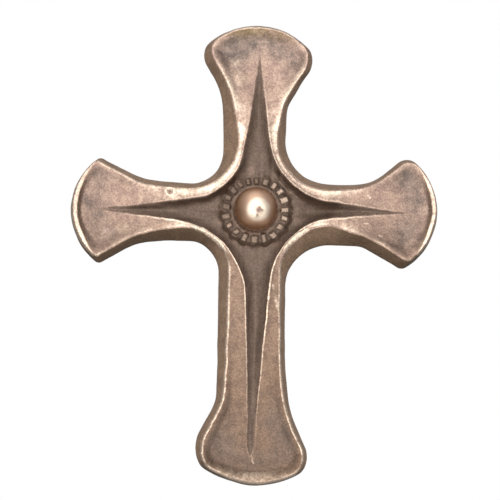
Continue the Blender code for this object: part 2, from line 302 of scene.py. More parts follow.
# offsets are to the right on the upright arms and upwards on the others; rimFlat is the share
# of the end's lip that is level before it falls into the dish. Then come an olive band of
# painted shade inside that lip and its width, painted light on the lip's slope, which faces up
# at the lower end, and how dull the dish is.
armValues = {
    "up": {
        "reach": high[2], "endRadius": 23.0, "endOffset": 0.0, "endWall": 1.2, "rimSlope": 4.6,
        "rimFlat": 0.06, "tipMargin": 8.5, "grooveRoot": 8.5, "grooveTip": 0.5, "shiftRoot": -0.1,
        "shiftTip": 0.75, "lipShade": 1.1, "stainWidth": 3.3, "paintedSlopeLight": 0.0, "hollow": 0.4,
        "left": {"waist": 10.5, "flareLength": 22.3, "flare": 0.64, "softness": 4.8,
                 "corner": 4.0, "wallWaist": 4.8, "wallFlare": 3.0},
        "right": {"waist": 9.7, "flareLength": 26.3, "flare": 0.65, "softness": 2.0,
                  "corner": 5.0, "wallWaist": 3.0, "wallFlare": 1.6}},
    "left": {
        "reach": -low[0], "endRadius": 21.1, "endOffset": -0.7, "endWall": 0.7, "rimSlope": 2.3,
        "rimFlat": 0.50, "tipMargin": 8.4, "grooveRoot": 8.1, "grooveTip": 0.75, "shiftRoot": -1.25,
        "shiftTip": -0.6, "lipShade": 0.75, "stainWidth": 0.8, "paintedSlopeLight": 0.1, "hollow": 0.6,
        "up": {"waist": 8.9, "flareLength": 23.0, "flare": 0.57, "softness": 4.7,
               "corner": 1.3, "wallWaist": 2.9, "wallFlare": 2.6},
        "down": {"waist": 10.0, "flareLength": 21.8, "flare": 0.64, "softness": 4.6,
                 "corner": 1.2, "wallWaist": 3.7, "wallFlare": 2.3}},
    "down": {
        "reach": -low[2], "endRadius": 29.0, "endOffset": 1.2, "endWall": 0.5, "rimSlope": 4.4,
        "rimFlat": 0.06, "tipMargin": 8.7, "grooveRoot": 6.0, "grooveTip": 1.1, "shiftRoot": 1.3,
        "shiftTip": -0.45, "lipShade": 0.0, "stainWidth": 0.7, "paintedSlopeLight": 0.42, "hollow": 1.1,
        "left": {"waist": 11.5, "flareLength": 26.8, "flare": 0.535, "softness": 2.6,
                 "corner": 7.2, "wallWaist": 3.1, "wallFlare": 2.5},
        "right": {"waist": 9.85, "flareLength": 24.6, "flare": 0.55, "softness": 9.0,
                  "corner": 6.5, "wallWaist": 2.0, "wallFlare": 1.9}},
    "right": {
        "reach": high[0], "endRadius": 21.3, "endOffset": 1.3, "endWall": 0.8, "rimSlope": 2.2,
        "rimFlat": 0.45, "tipMargin": 7.6, "grooveRoot": 7.0, "grooveTip": 0.3, "shiftRoot": 0.1,
        "shiftTip": 0.5, "lipShade": 0.8, "stainWidth": 0.8, "paintedSlopeLight": 0.1, "hollow": 0.8,
        "up": {"waist": 9.35, "flareLength": 21.2, "flare": 0.92, "softness": 4.0,
               "corner": 3.6, "wallWaist": 2.7, "wallFlare": 2.1},
        "down": {"waist": 10.4, "flareLength": 24.5, "flare": 0.56, "softness": 1.2,
                 "corner": 1.2, "wallWaist": 5.4, "wallFlare": 3.1}},
}

# outwards from the ring on each diagonal: where the arc between the two grooves would pass if
# they kept their root width, the outer edge of the front, the back, and how round that edge is
crotchValues = {
    ("up", "left"): {"star": 5.3, "edge": 4.35, "back": 7.1, "round": 0.6},
    ("left", "down"): {"star": 6.6, "edge": 5.25, "back": 8.35, "round": 1.7},
    ("down", "right"): {"star": 4.9, "edge": 4.6, "back": 9.35, "round": 1.9},
    ("right", "up"): {"star": 6.0, "edge": 5.35, "back": 8.4, "round": 0.7},
}

armDirections = {"up": (0, 1), "left": (-1, 0), "down": (0, -1), "right": (1, 0)}
oppositeSide = {"up": "down", "left": "right", "down": "up", "right": "left"}

# how bare the metal is rubbed along each side of an arm and in each crotch, from 0 to 1: at
# the star's edge, at the outer edge, in a soft band inside it of the width that follows, and
# on the lobe. Then the painted shade on the star's wall, and the painted light that takes the
# metal from brown to tan, higher on the upper arms than on the lower one.
wearNames = ("star", "edge", "band", "bandWidth", "lobe", "shade", "tone")
wearValues = {
    ("up", "left"): (0.25, 0.55, 0.70, 1.9, 0.55, 0.3, 0.75),
    ("up", "right"): (0.55, 0.40, 0.60, 2.0, 0.60, 0.6, 0.75),
    ("left", "up"): (0.20, 1.00, 0.25, 1.6, 0.60, 1.0, 0.80),
    ("left", "down"): (0.75, 0.35, 0.40, 1.3, 0.40, 0.0, 0.70),
    ("down", "left"): (0.65, 1.20, 0.00, 1.0, 0.00, 0.4, 0.39),
    ("down", "right"): (0.75, 1.10, 0.05, 1.0, 0.05, 0.3, 0.34),
    ("right", "down"): (0.70, 0.30, 0.45, 1.6, 0.40, 0.0, 0.65),
    ("right", "up"): (0.45, 0.45, 0.45, 1.6, 0.45, 1.0, 0.75),
    ("up", "left", "crotch"): (0.6, 1.10, 0.95, 1.5, 0.60, 1.0, 0.85),
    ("left", "down", "crotch"): (1.2, 0.00, 0.00, 1.0, 0.05, 0.2, 0.3),
    ("down", "right", "crotch"): (1.2, 0.15, 0.05, 1.0, 0.25, 0.1, 0.7),
    ("right", "up", "crotch"): (0.7, 1.00, 0.85, 1.1, 0.45, 1.0, 0.8),
}

ringValues = {
    "ballRadius": 6.95,
    "channel": 1.4,          # plain gap between the ball and the bars
    "barCount": 20,
    "barLength": 2.6,
    "barWidth": 1.95,
    "barHeight": 0.55,
    "barOffset": 1.5,        # degrees clockwise that the first bar stands off the top
    "barCrowding": 4.0,      # degrees that the bars lean towards the right
    "gapDepth": 0.25,        # how far the floor between the bars is sunk
    "margin": 0.2,           # plain floor kept outside the bars
    "cornerBend": 0.22,      # softness of the bars' sides
    "shadowDepth": 0.45,     # scalloped trench outside the bars, below and at the sides
    "shadowWidth": 0.60,
    "shinePlace": (0.3, -1.2),  # where the ball's painted highlight lies, and its radius
    "shineSize": 3.7,
    "paintedReflection": (0.45, -1.8),   # a small dark painted reflection inside that
    "reflectionSize": (1.5, 1.9),
    # each bar's own lean, as a share of the pitch, its skew, its sizes and its place
    "uneven": {
        "lean": (-0.06, 0.06), "skew": (-0.16, 0.16), "long": (0.80, 1.12), "wide": (0.82, 1.15),
        "tall": (0.70, 1.15), "inwards": (-0.25, 0.25)},
    "seed": 11,
}
ballLift = -low[1] - castingValues["floor"] - ringValues["ballRadius"]
ringInner = ringValues["ballRadius"] + ringValues["channel"]
ringOuter = ringInner + ringValues["barLength"]
discRadius = ringOuter + ringValues["margin"]
crossing = castingValues["crossing"]

gridValues = {
    "fanLead": 1.5, "fanSpan": 0.6, "fanBias": 1.5,
    "fanSteps": 38,          # rungs from a groove's tip round half of a dished end
    "stationStep": 0.55,     # spacing of the rungs along the arms
    "spineTurns": 12,        # rungs that swing towards the crotch before the ring is reached
    "discTurns": 24,         # rungs in each eighth of the ring
    "floorRows": 7, "footRows": 4, "wallRows": 4, "crestRows": 5, "lobeRows": 24, "lipRows": 5,
    "roundRows": 5, "flankRows": 6, "backRows": 5,
    # where those rows begin, inwards of the star's edge or of the outer edge
    "footPlace": 4.0, "wallPlace": 1.6, "crestPlace": 0.3, "lipPlace": 2.2,
    "searchReach": 36.0, "searchSteps": 32,
}


# one long side of an arm: the arm's values, the side's values and the two directions
def armSide(armName, sideName):
    arm = armValues[armName]
    along = armDirections[armName]
    out = armDirections[sideName]
    tip = arm["reach"] - arm["tipMargin"]
    fanRoot = tip - gridValues["fanLead"]
    lipFoot = arm["reach"] - arm["endWall"] - arm["rimSlope"]
    return {
        **arm, **arm[sideName], "along": along, "out": out, "sign": out[0] + out[1],
        "tip": tip, "knee": arm["reach"] - arm[sideName]["flareLength"], "fanRoot": fanRoot,
        "spineEnd": between(tip, lipFoot, gridValues["fanSpan"])}


# a place in the plan as its distance along the arm and out to this side, and the way back
def localPlace(side, x, z):
    along = x * side["along"][0] + z * side["along"][1]
    out = x * side["out"][0] + z * side["out"][1]
    return along, out


def planPlace(side, along, out):
    x = along * side["along"][0] + out * side["out"][0]
    z = along * side["along"][1] + out * side["out"][1]
    return np.stack([x, z], axis=-1)


# half-width of the back: a straight waist with a soft bend into the flare
def backHalf(side, along):
    past = along - side["knee"]
    return side["waist"] + side["flare"] * 0.5 * (past + np.hypot(past, side["softness"]))


# how much that half-width grows along the arm
def backSlope(side, along):
    past = along - side["knee"]
    return side["flare"] * 0.5 * (1 + past / np.hypot(past, side["softness"]))


# width in the plan of the sloping side wall, from the waist's to the flare's
def flankWidth(side, along):
    t = easeStep((along - crossing) / (side["knee"] - crossing))
    return between(side["wallWaist"], side["wallFlare"], t)


# the groove's middle wanders from the arm's axis in a straight line
def grooveShift(side, along):
    return side["sign"] * between(side["shiftRoot"], side["shiftTip"], along / side["tip"])


# half-width of the groove: (1 - along / tip) to a power from the tip's width to the root's,
# closed at the tip by a power of the distance from it
def grooveHalf(side, along):
    narrowing = np.maximum(1 - along / side["tip"], 0) ** castingValues["taperPower"]
    taper = between(side["grooveTip"], side["grooveRoot"], narrowing)
    closure = np.clip((side["tip"] - along) / castingValues["tipClosure"], 0, 1)
    return taper * closure ** castingValues["tipPower"]


# 0 up to the crossing, 1 where the dished end begins
def dishShare(side, along):
    return easeStep((along - crossing) / (side["fanRoot"] - crossing))


# lip's width: narrow near the crossing, wider along the dish, widest at the far end
def lipWidth(side, along):
    far = easeStep((along - side["tip"]) / (side["reach"] - side["tip"]))
    return between(side["edgeLand"], between(side["sideLip"], side["rimSlope"], far), dishShare(side, along))


# signed distance to one arm's groove, out to this side, and round its tip
def sideStarDistance(side, x, z):
    along, out = localPlace(side, x, z)
    offset = out - grooveShift(side, along)
    past = np.maximum(along - side["tip"], 0)
    return np.where(past > 0, np.hypot(offset, past), offset - grooveHalf(side, along))


# signed distance to one arm's outline: its flared side and the arc of its end, with a
# rounded corner between them
def sideEdgeDistance(side, x, z, front):
    along, out = localPlace(side, x, z)
    half = backHalf(side, along) - (flankWidth(side, along) if front else 0)
    radius = side["endRadius"] - (side["endWall"] if front else 0)
    pastCentre = along - (side["reach"] - side["endRadius"])
    flank = (out - half) / np.hypot(1, backSlope(side, along))
    end = np.hypot(pastCentre, out - side["sign"] * side["endOffset"]) - radius
    corner = side["corner"]
    both = np.minimum(-corner, np.maximum(flank, end)) + np.hypot(
        np.maximum(corner + flank, 0), np.maximum(corner + end, 0))
    return np.where(pastCentre > 0, both, flank)


# signed distance to two joined shapes, with a fillet of this radius in the crotch
def filletUnion(a, b, radius):
    return np.maximum(radius, np.minimum(a, b)) - np.hypot(
        np.maximum(radius - a, 0), np.maximum(radius - b, 0))


# radius of the arc that joins two arms' sides and crosses the diagonal this far out
def filletRadius(beyondRing, halfA, halfB):
    sides = (halfA + halfB) / sqrt(2)
    return max((ringOuter + beyondRing - sides) / (sqrt(2) - 1), castingValues["leastLand"])


# the part of the outline between the ends of two neighbouring arms
def makeQuadrant(firstName, secondName):
    first = {**castingValues, **armSide(firstName, secondName)}
    second = {**castingValues, **armSide(secondName, firstName)}
    crotch = crotchValues[(firstName, secondName)]
    frontFirst = backHalf(first, 0) - flankWidth(first, 0)
    frontSecond = backHalf(second, 0) - flankWidth(second, 0)
    return {
        "first": first, "second": second, "round": crotch["round"], "names": (firstName, secondName),
        "starRadius": filletRadius(crotch["star"], grooveHalf(first, 0), grooveHalf(second, 0)),
        "edgeRadius": filletRadius(crotch["edge"], frontFirst, frontSecond),
        "backRadius": filletRadius(crotch["back"], backHalf(first, 0), backHalf(second, 0))}


# how far an edge wanders: a slow noise of its own amount and size, and a fine one
def wander(x, z, name, seed):
    v = castingValues
    slow = v[name + "Wander"] * planNoise(x, z, v[name + "WanderSize"], seed)
    return slow + v["fineWander"] * planNoise(x, z, v["fineWanderSize"], seed + 3)


# signed distances to the two arms' joined shapes, the edge's wander added
def starDistance(quadrant, x, z):
    return wander(x, z, "star", 1) + filletUnion(
        sideStarDistance(quadrant["first"], x, z), sideStarDistance(quadrant["second"], x, z),
        quadrant["starRadius"])


def outlineDistance(quadrant, x, z, front):
    return filletUnion(
        sideEdgeDistance(quadrant["first"], x, z, front), sideEdgeDistance(quadrant["second"], x, z, front),
        quadrant["edgeRadius" if front else "backRadius"])


def frontDistance(quadrant, x, z):
    return wander(x, z, "edge", 2) + outlineDistance(quadrant, x, z, True)


def backDistance(quadrant, x, z):
    inwards = castingValues["backWander"] * (planNoise(x, z, castingValues["backWanderSize"], 3) + 1)
    return inwards + outlineDistance(quadrant, x, z, False)


# height of the front and what kind of place each point is. The lobe of an arm runs from the
# star's edge to the lip with a slight sag, deepens in the dished end and rises or falls over
# the lip to the outer edge. The star is cut into it: steep at its edge, flat at its floor.
def frontSurface(quadrant, x, z):
    v = castingValues
    star = starDistance(quadrant, x, z)
    edge = -frontDistance(quadrant, x, z)
    dish, past, inFromEnd, flat, lip, stainWidth = 0, 0, 40.0, 0, v["edgeLand"], 1.0
    finish = {name: 0 for name in ("lipShade", "paintedSlopeLight", "hollow")}
    for side in (quadrant["first"], quadrant["second"]):
        along, out = localPlace(side, x, z)
        share = dishShare(side, along)
        dish = dish + share
        lip = lip + np.where(share > 0, lipWidth(side, along) - v["edgeLand"], 0)
        past = past + easeStep((along - side["tip"] - 0.2) / 1.2)
        far = easeStep((along - side["tip"]) / (side["tipMargin"] - 2))
        flat = flat + side["rimFlat"] * far
        for name in finish:
            finish[name] = finish[name] + side[name] * (share if name == "hollow" else far)
        stainWidth = np.where(share > 0, side["stainWidth"], stainWidth)
        fromCentre = np.hypot(
            along - side["reach"] + side["endRadius"], out - side["sign"] * side["endOffset"])
        inFromEnd = np.where(
            along > side["knee"], side["endRadius"] - side["endWall"] - fromCentre, inFromEnd)
    width = np.maximum(star + edge, 0.01)
    lip = np.minimum(lip, 0.8 * width)
    across = np.clip(star / np.maximum(width - lip, 0.01), 0, 1)
    starHeight = between(v["ridge"], v["dish"], dish)
    lipHeight = between(v["crest"], v["dish"], dish)
    edgeHeight = between(v["shoulder"], v["rim"], dish)
    sag = np.minimum(v["sag"], 0.05 * width) * (1 - dish)
    lobe = between(starHeight, lipHeight, across) - sag * 4 * across * (1 - across)
    lobe = lobe - v["bowl"] * dish * easeStep((edge - 0.4 * lip) / v["bowlReach"])
    lobe = lobe + (edgeHeight - lipHeight) * easeStep((1 - edge / lip) / (1 - flat))
    floor = between(v["floor"], v["grooveFloor"], dish)
    inset = 0.5 * (np.hypot(star, v["crestBend"]) - star) * (1 - past)
    depth = 1 - np.clip(1 - inset / v["wallRun"], 0, 1) ** v["wallPower"]
    height = lobe - (lobe - floor) * depth
    return height, {
        "star": star, "edge": edge, "dish": dish, "past": past, "inFromEnd": inFromEnd,
        "rimTop": flat * lip, "rimShare": np.clip(flat * 30, 0, 1), "lip": lip,
        "stainWidth": stainWidth, **finish}


# rungs of one side of an arm, from the arm's end inwards: where on the spine each starts
# and how far it leans from square. They fan round the dished end, run square along the arm,
# then swing towards the crotch, evenly spaced round the ring.
def rungsOfSide(side):
    g = gridValues
    fan = 1 - np.arange(g["fanSteps"]) / g["fanSteps"]
    count = round((side["fanRoot"] - crossing) / g["stationStep"])
    stations = between(side["fanRoot"], crossing, np.arange(count) / count)
    discTurn = atan(1 - discRadius / crossing)
    swing = discTurn * np.arange(g["spineTurns"]) / g["spineTurns"]
    angle = radians(45) * np.arange(g["discTurns"]) / g["discTurns"]
    back = discRadius * np.sin(angle) / (crossing - discRadius * np.sin(angle))
    inRing = discRadius * np.cos(angle) - back * (crossing - discRadius * np.cos(angle))
    along = np.concatenate([
        between(side["fanRoot"], side["spineEnd"], fan), stations, crossing * (1 - np.tan(swing)), inRing])
    turn = np.concatenate([
        radians(90) * fan ** g["fanBias"], np.zeros(count), swing, np.arctan(1 - inRing / crossing)])
    onDisc = np.arange(len(along)) >= len(along) - g["discTurns"]
    return along, turn, onDisc


# where rungs start, on the arm's middle line, and the directions they run in
def placeRungs(side, along, turn):
    shift = grooveShift(side, along) * easeStep(along / crossing)
    return planPlace(side, along, shift), planPlace(side, np.sin(turn), np.cos(turn))


# all rungs between the axes of two neighbouring arms, as start, direction and disc flag
def quadrantRungs(quadrant):
    along, turn, onDisc = rungsOfSide(quadrant["first"])
    along = np.append(along, 0.0)
    turn = np.append(turn, radians(45))
    startA, directionA = placeRungs(quadrant["first"], along, turn)
    onDiscA = np.append(onDisc, True)
    along, turn, onDisc = [values[:0:-1] for values in rungsOfSide(quadrant["second"])]
    startB, directionB = placeRungs(quadrant["second"], along, turn)
    return (np.concatenate([startA, startB]), np.concatenate([directionA, directionB]),
            np.concatenate([onDiscA, onDisc]))


# distance at which each rung leaves the disc under the ring, 0 where it starts beyond it
def leavingDisc(start, direction):
    dot = (start * direction).sum(axis=1)
    inside = discRadius ** 2 - (start ** 2).sum(axis=1)
    return np.where(inside > 0, -dot + np.sqrt(dot ** 2 + np.maximum(inside, 0)), 0.0)


# distance at which each rung leaves a shape, found by halving for all rungs at once
def leavingShape(start, direction, inner, shape):
    near = inner.copy()
    far = np.full_like(near, gridValues["searchReach"])
    for step in range(gridValues["searchSteps"]):
        middle = 0.5 * (near + far)
        place = start + direction * middle[:, None]
        inside = shape(place[:, 0], place[:, 1]) < 0
        near = np.where(inside, middle, near)
        far = np.where(inside, far, middle)
    return near


# rows along every rung: breakpoints with a number of even steps between each two
def spreadRows(breaks, steps):
    parts = []
    for k, count in enumerate(steps):
        t = np.arange(count) / count
        parts.append(between(breaks[:, k, None], breaks[:, k + 1, None], t))
    parts.append(breaks[:, -1:])
    return np.concatenate(parts, axis=1)


# rubbed wear, painted wall shade and painted light at each point: the crotch's near the ring,
# then that of the arm's side. Over the groove it blends with the other side's, and a lobe is
# worn less towards the arm's end.
def sideWear(quadrant, x, z):
    v = castingValues
    names = quadrant["names"]
    worn = dict(zip(wearNames, wearValues[names + ("crotch",)]))
    total = {name: np.full_like(x, value) for name, value in worn.items()}
    for side, key in ((quadrant["first"], names), (quadrant["second"], names[::-1])):
        along, out = localPlace(side, x, z)
        share = easeStep((along - v["roundUntil"]) / v["roundFade"])
        fade = 1 - easeStep((along / side["reach"] - 0.30) / 0.55)
        own = 0.5 + 0.5 * easeStep(np.abs(out - grooveShift(side, along)) / 2.5)
        acrossKey = (key[0], oppositeSide[key[1]])
        for name, acrossValue, ownValue in zip(wearNames, wearValues[acrossKey], wearValues[key]):
            value = between(acrossValue, ownValue, own)
            value = value * fade if name == "lobe" else value
            total[name] = total[name] + share * (value - worn[name])
    return {"wear" + name[0].upper() + name[1:]: value for name, value in total.items()}


# how round the outer edge is: as in the crotch's values near it, small along the arms
def edgeRounding(quadrant, place):
    v = castingValues
    along = np.maximum(*[
        localPlace(quadrant[name], place[:, 0], place[:, 1])[0] for name in ("first", "second")])
    return between(quadrant["round"], v["edgeRound"], easeStep((along - v["roundUntil"]) / v["roundFade"]))


# the surface over the rungs of one quadrant, from the star's floor over the front, the
# rounded outer edge, the side wall and the back to the spine again
def quadrantSurface(quadrant):
    v, g = castingValues, gridValues
    start, direction, onDisc = quadrantRungs(quadrant)
    inner = leavingDisc(start, direction)
    back = leavingShape(start, direction, inner, lambda x, z: backDistance(quadrant, x, z))
    edge = leavingShape(start, direction, inner, lambda x, z: frontDistance(quadrant, x, z))
    edge = np.minimum(edge, back - v["leastLand"])
    star = leavingShape(start, direction, inner, lambda x, z: starDistance(quadrant, x, z))
    star = np.minimum(star, edge - v["leastLand"])
    rounding = edgeRounding(quadrant, start + direction * edge[:, None])
    roundStart = edge - np.minimum(rounding, 0.75 * (edge - star))
    breaks = np.stack([
        inner, star - g["footPlace"], star - g["wallPlace"], star - g["crestPlace"],
        star + g["crestPlace"], edge - g["lipPlace"], roundStart], axis=1)
    breaks = np.minimum(np.maximum.accumulate(breaks, axis=1), roundStart[:, None])
    distance = spreadRows(breaks, [g[name] for name in (
        "floorRows", "footRows", "wallRows", "crestRows", "lobeRows", "lipRows")])
    x = start[:, :1] + direction[:, :1] * distance
    z = start[:, 1:] + direction[:, 1:] * distance
    height, kind = frontSurface(quadrant, x, z)

    # the outer edge is a quadratic curve from the front through the corner to the wall
    edgeHeight = height[:, -1] - 0.02
    fall = np.stack([back - edge, v["backLand"] - edgeHeight], axis=1)
    fall = fall / np.linalg.norm(fall, axis=1)[:, None]
    cornerPoint = np.stack([edge, edgeHeight], axis=1)
    roundEnd = cornerPoint + fall * rounding[:, None]
    t = (np.arange(1, g["roundRows"] + 1) / g["roundRows"])[None, :, None]
    first = np.stack([roundStart, height[:, -1]], axis=1)[:, None, :]
    bend = (1 - t) ** 2 * first + 2 * t * (1 - t) * cornerPoint[:, None, :] + t ** 2 * roundEnd[:, None, :]

    # the side wall is nearly straight, and a small round leads to the land and the back
    t = (np.arange(1, g["flankRows"] + 1) / g["flankRows"])[None, :, None]
    foot = np.stack([back, np.full_like(back, v["backLand"])], axis=1) - fall * 0.2
    flank = between(roundEnd[:, None, :], foot[:, None, :], t)
    outwards = np.stack([-fall[:, 1], fall[:, 0]], axis=1)[:, None, :]
    flank = flank + outwards * 0.10 * 4 * t * (1 - t)
    land = np.array([[0.0, v["backLand"] - 0.15], [0.0, 0.25], [-0.07, 0.07], [-0.25, 0.0]])
    land = np.stack([back[:, None] + land[:, 0], np.broadcast_to(land[:, 1], (len(back), 4))], axis=2)
    t = np.arange(1, g["backRows"] + 1) / g["backRows"]
    behind = (back[:, None] - 0.25) * (1 - t)
    behind = np.stack([behind, np.zeros_like(behind)], axis=2)
    rest = np.concatenate([bend, flank, land, behind], axis=1)

    x = np.concatenate([x, start[:, :1] + direction[:, :1] * rest[:, :, 0]], axis=1)
    z = np.concatenate([z, start[:, 1:] + direction[:, 1:] * rest[:, :, 0]], axis=1)
    height = np.concatenate([height, rest[:, :, 1]], axis=1)
    points = np.stack([x, -height, z], axis=2)

    # what kind of place each row is, carried on beyond the front
    rows = rest.shape[1]
    kept = {name: np.concatenate([kind[name], np.repeat(kind[name][:, -1:], rows, axis=1)], axis=1)
            for name in kind if name != "edge"}
    beyond = rest[:, :, 0] - edge[:, None]
    kept["edge"] = np.concatenate([kind["edge"], -np.abs(beyond)], axis=1)
    kept.update(sideWear(quadrant, points[:, :, 0], points[:, :, 2]))
    row = np.arange(points.shape[1])
    every = np.ones((len(points), 1))
    kept["flank"] = every * (row >= distance.shape[1] + g["roundRows"] - 2)
    kept["back"] = every * (row >= len(row) - g["backRows"] - 1)
    return points, kept, onDisc


# how many bars lie between the first one and an angle from the right, with their crowding
def barTurn(theta):
    r = ringValues
    clockwise = np.degrees(0.5 * pi - theta)
    crowding = r["barCrowding"] * np.sin(np.radians(clockwise))
    return (clockwise - r["barOffset"] + crowding) * r["barCount"] / 360


# ball and ring: rings of points from the ball's top, down its side and over the floor. A bar
# is a rounded box in polar coordinates, each one a little off in angle, length and height.
def ringSurface(rim):
    r = ringValues
    angle = np.unwrap(np.arctan2(rim[:, 2], rim[:, 0]))
    rimRadius = np.hypot(rim[:, 0], rim[:, 2])
    nextAngle = np.append(angle[1:], angle[0] + 2 * pi)
    theta = np.stack([angle, 0.5 * (angle + nextAngle)], axis=1).ravel()
    reach, rimHeight = [
        np.stack([values, 0.5 * (values + np.roll(values, -1))], axis=1).ravel()[:, None]
        for values in (rimRadius, -rim[:, 1])]

    floor = castingValues["floor"]
    down = np.linspace(0, pi - np.arccos(ballLift / r["ballRadius"]), 27)
    ballR, ballH = r["ballRadius"] * np.sin(down), floor + ballLift + r["ballRadius"] * np.cos(down)
    footR = ballR[-1]
    floorR = np.concatenate([
        footR + np.array([0.15, 0.45, 0.9, 1.4]), np.linspace(ringInner - 0.3, ringOuter, 15)])
    radius = np.concatenate([ballR, floorR])[None, :]
    height = np.concatenate([ballH, np.full(len(floorR), floor)])[None, :]

    draw = np.random.default_rng(r["seed"])
    count = r["barCount"]
    lean, skew, long, wide, tall, inwards = [
        draw.uniform(least, most, count) for least, most in r["uneven"].values()]
    turn = barTurn(theta)[:, None]
    bar = np.round(turn).astype(int) % count
    middle = 0.5 * (ringInner + ringOuter) + inwards[bar]
    sideways = (turn - np.round(turn) - lean[bar]) * 2 * pi / count * radius + skew[bar] * (radius - middle)
    halfWidth = 0.5 * r["barWidth"] * wide[bar]
    halfLength = 0.5 * r["barLength"] * long[bar]
    bend = r["cornerBend"]
    onBar = 0.5 * (1 + np.tanh((halfWidth - np.abs(sideways)) / bend))
    inLength = 0.5 * (1 + np.tanh((halfLength - np.abs(radius - middle)) / bend))
    inRing = easeStep((radius - ringInner + 0.5) / 0.6) * easeStep((ringOuter + 0.1 - radius) / 0.5)
    crown = 1 - 0.3 * np.clip(np.abs(sideways) / halfWidth, 0, 1) ** 2
    raised = r["barHeight"] * tall[bar] * onBar * inLength * crown
    sunk = r["gapDepth"] * inRing * (1 - onBar * inLength)
    onFloor = np.arange(radius.shape[1]) >= len(ballR)
    height = height + np.where(onFloor, raised - sunk, 0)
    height[:, len(ballR):len(ballR) + 2] -= 0.12     # dark line where the ball meets the floor
    channel = onFloor * easeStep((ringInner - 0.1 - radius) / 0.3) * easeStep((radius - footR - 0.1) / 0.5)

    radius = np.broadcast_to(radius, height.shape)
    radius = np.concatenate([radius, reach], axis=1)
    height = np.concatenate([height, rimHeight], axis=1)
    points = np.stack([radius * np.cos(theta)[:, None], -height, radius * np.sin(theta)[:, None]], axis=2)
    points[::2, -1] = rim

    kind = {
        "ball": ~onFloor, "channel": channel, "bar": onBar * inLength * onFloor,
        "ring": inRing * onFloor * (1 - onBar * inLength)}
    plain = np.zeros((len(theta), 1))
    return points, {
        name: np.concatenate([np.broadcast_to(share, onBar.shape), plain], axis=1)
        for name, share in kind.items()}


# how deep in the trench round the bars: a bell across a circle that swings out at each bar,
# full below the ring, weak above it and fading towards the upper left
def ringTrench(x, z):
    r = ringValues
    radius = np.hypot(x, z)
    middle = ringOuter + 0.45 + 0.30 * np.cos(2 * pi * barTurn(np.arctan2(z, x)))
    share = 0.15 + 0.85 * easeStep(0.62 - 0.5 * (z - 0.35 * x) / np.maximum(radius, 0.1))
    return bell(radius - middle, r["shadowWidth"]) * share


# corners of the quads of a grid of lines and rows; each line is joined to the next one
def gridQuads(lines, rows, offset, closed):
    this = np.arange(lines if closed else lines - 1)
    after = (this + 1) % lines
    row = np.arange(rows - 1)
    a = offset + this[:, None] * rows + row
    b = offset + after[:, None] * rows + row
    return np.stack([a, a + 1, b + 1, b], axis=2)


# one closed body: the four quadrants' rungs in a ring, and the disc of ball and bars with
# twice as many lines, stitched to the rungs by three triangles at each step
def makeBody():
    names = ("up", "left", "down", "right")
    parts = [quadrantSurface(makeQuadrant(name, names[(k + 1) % 4])) for k, name in enumerate(names)]
    points = np.concatenate([part[0] for part in parts])
    kind = {name: np.concatenate([part[1][name] for part in parts]) for name in parts[0][1]}
    onDisc = np.concatenate([part[2] for part in parts])
    lines, rows = points.shape[:2]

    # rungs that start at the same place in the plan start at one height, the mean of theirs,
    # and so do the rows that have not left that place
    begun = np.unique(np.round(points[:, 0, ::2] * 1e4), axis=0, return_inverse=True)[1].ravel()
    startHeight = (np.bincount(begun, points[:, 0, 1]) / np.bincount(begun))[begun]
    moved = np.abs(points[:, :, ::2] - points[:, :1, ::2]).max(axis=2) > 1e-6
    points[:, :, 1] = np.where(np.cumsum(moved, axis=1) == 0, startHeight[:, None], points[:, :, 1])
    quads = gridQuads(lines, rows, 0, True)

    stitched = onDisc & np.roll(onDisc, -1)
    columns = np.flatnonzero(stitched)               # the rung that begins each step of the rim
    discPoints, discKind = ringSurface(points[columns, 0])
    discLines, discRows = discPoints.shape[:2]
    offset = lines * rows
    discQuads = gridQuads(discLines, discRows, offset, True).reshape(-1, 4)
    midRim = offset + (2 * np.arange(len(columns)) + 1) * discRows + discRows - 1
    a, b = columns * rows, (columns + 1) % lines * rows
    stitches = np.concatenate([
        np.stack([a, a + 1, midRim], axis=1), np.stack([midRim, a + 1, b + 1], axis=1),
        np.stack([midRim, b + 1, b], axis=1)])
    keep = np.ones(quads.shape[:2], dtype=bool)
    keep[columns, 0] = False
    quads = np.concatenate([quads[keep], discQuads])

    everyPoint = np.concatenate([points.reshape(-1, 3), discPoints.reshape(-1, 3)])
    onRungs, onRing = np.zeros(offset), np.zeros(len(everyPoint) - offset)
    ringPlace = {"star": -8.0, "edge": 12.0, "inFromEnd": 40.0, "stainWidth": 1.0}   # deep in the star
    masks = {
        name: np.concatenate([
            kind.get(name, onRungs).ravel(), discKind.get(name, onRing + ringPlace.get(name, 0)).ravel()])
        for name in (*kind, *discKind)}
    return everyPoint, quads, stitches, masks


# points that coincide become one, and faces that lose a corner become triangles or go
def weld(points, quads, triangles, masks):
    rounded = np.round(points * 1e4)
    first, back = np.unique(rounded, axis=0, return_index=True, return_inverse=True)[1:]
    back = back.ravel()
    quads, triangles = back[quads], back[triangles]
    same = quads == np.roll(quads, -1, axis=1)
    whole = ~same.any(axis=1)
    flat = quads[same.sum(axis=1) == 1]
    gone = (flat == np.roll(flat, -1, axis=1)).argmax(axis=1)
    order = (gone[:, None] + 1 + np.arange(3)) % 4
    triangles = np.concatenate([triangles, np.take_along_axis(flat, order, axis=1)])
    distinct = (triangles != np.roll(triangles, -1, axis=1)).all(axis=1)
    return points[first], quads[whole], triangles[distinct], {n: m[first] for n, m in masks.items()}


# each point's normal: the mean of its faces' cross products, of a quad's diagonals or of two
# sides of a triangle, so that large faces count for more
def pointNormals(points, quads, triangles):
    total = np.zeros_like(points)
    for corners in (quads, triangles):
        place = points[corners]
        count = corners.shape[1]
        across = np.cross(place[:, 2] - place[:, 0], place[:, 3 % count] - place[:, 1])
        for k in range(count):
            for axis in range(3):
                total[:, axis] += np.bincount(corners[:, k], across[:, axis], len(points))
    return total / np.maximum(np.linalg.norm(total, axis=1), 1e-12)[:, None]


